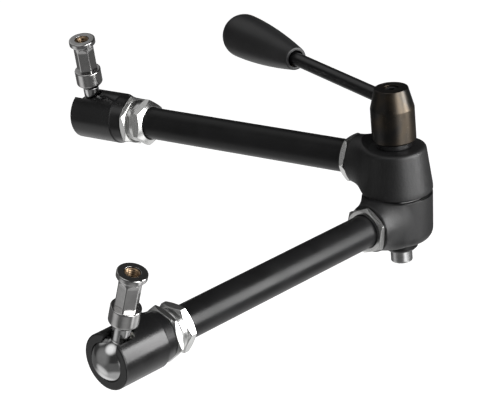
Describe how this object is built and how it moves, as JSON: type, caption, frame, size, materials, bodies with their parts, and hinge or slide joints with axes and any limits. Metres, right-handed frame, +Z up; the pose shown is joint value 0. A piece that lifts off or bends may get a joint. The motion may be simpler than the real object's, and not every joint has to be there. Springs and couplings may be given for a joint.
{
  "type": "articulating friction arm",
  "caption": "Jointed tube arm with a ball-mounted spigot at each end and a lever that locks its joints together, for holding cameras and lamps.",
  "frame": {"origin": "middle of the lower spigot's end face, where a clamp or socket holds the arm", "axes": "+X along the lower tube from its ball to the elbow, +Z up the elbow's axis towards the lever"},
  "size_m": [0.287, 0.2516, 0.112],
  "materials": {
    "satin_steel": "satin chrome-plated steel, lightly turned",
    "polished": "polished chrome-plated steel",
    "nickel": "satin nickel-plated steel",
    "steel": "bare turned steel",
    "brass": "turned brass",
    "gloss_black": "gloss black anodised aluminium",
    "satin_black": "satin black anodised aluminium",
    "black_steel": "satin black steel",
    "powder_black": "fine black powder coat on cast aluminium",
    "burnished": "dark brown-black burnished steel",
    "moulded_black": "moulded black plastic with a fine grain",
    "nylon": "natural nylon"
  },
  "bodies": {
    "lower_spigot_end": {"lower_spigot": "satin_steel", "lower_thread_bush": "brass"},
    "lower_ball": {"lower_ball_stud": "polished"},
    "lower_arm": {"lower_ball_socket": "gloss_black", "lower_lock_nut": "nickel", "lower_socket_bushing": "nickel", "lower_tube": "satin_black", "lower_elbow_nut": "nickel", "lower_casting": "powder_black", "base_bush": "satin_black", "elbow_washer": "steel"},
    "lower_push": {"lower_push_rod": "steel", "lower_ball_seat": "nylon"},
    "shaft": {"elbow_shaft": "steel"},
    "upper_arm": {"upper_ball_socket": "gloss_black", "upper_lock_nut": "nickel", "upper_socket_bushing": "nickel", "upper_tube": "satin_black", "upper_elbow_nut": "nickel", "upper_casting": "powder_black", "thrust_washer": "steel"},
    "upper_push": {"upper_push_rod": "steel", "upper_ball_seat": "nylon"},
    "lever": {"lever_hub": "burnished", "lever_set_screw": "black_steel", "lever_rod": "black_steel", "lever_knob": "moulded_black", "knob_insert": "brass"},
    "upper_ball": {"upper_ball_stud": "polished"},
    "upper_spigot_end": {"upper_spigot": "satin_steel", "upper_thread_bush": "brass"}
  },
  "joints": [
    {"name": "lower_spigot_spin", "type": "hinge", "parent": "lower_spigot_end", "child": "lower_ball", "pos_m": [-0.00194, 0.01724, -0.05008], "axis": [0.0366, -0.3253, 0.9449], "continuous": true},
    {"name": "lower_ball_tilt", "type": "hinge", "parent": "lower_ball", "child": "lower_arm", "pos_m": [-0.00194, 0.01724, -0.05008], "axis": [0, 0.9455, 0.3256], "range_deg": [-5, 112]},
    {"name": "elbow_turn", "type": "hinge", "parent": "lower_arm", "child": "upper_arm", "pos_m": [0.21506, 0.01724, -0.03638], "axis": [0, 0, 1], "range_deg": [-262, 70]},
    {"name": "lever_turn", "type": "hinge", "parent": "upper_arm", "child": "lever", "pos_m": [0.21506, 0.01724, -0.03638], "axis": [0, 0, -1], "range_deg": [0, 110]},
    {"name": "shaft_lift", "type": "slide", "parent": "lower_arm", "child": "shaft", "axis": [0, 0, 1], "range_m": [0, 0.00101]},
    {"name": "lower_push_slide", "type": "slide", "parent": "lower_arm", "child": "lower_push", "axis": [-1, 0, 0], "range_m": [0, 0.00037]},
    {"name": "upper_push_slide", "type": "slide", "parent": "upper_arm", "child": "upper_push", "axis": [-0.1547, 0.988, 0], "range_m": [0, 0.00037]},
    {"name": "upper_ball_tilt", "type": "hinge", "parent": "upper_arm", "child": "upper_ball", "pos_m": [0.18149, 0.23163, -0.01988], "axis": [0.9701, 0.1519, 0.1891], "range_deg": [-114, 3]},
    {"name": "upper_spigot_spin", "type": "hinge", "parent": "upper_ball", "child": "upper_spigot_end", "pos_m": [0.18149, 0.23163, -0.01988], "axis": [-0.1732, -0.1118, 0.9785], "continuous": true}
  ],
  "couplings": [
    {"joint": "shaft_lift", "follows": "lever_turn", "m_per_rad": 0.00052087},
    {"joint": "lower_push_slide", "follows": "lever_turn", "m_per_rad": 0.00018958},
    {"joint": "upper_push_slide", "follows": "lever_turn", "m_per_rad": 0.00018958}
  ]
}
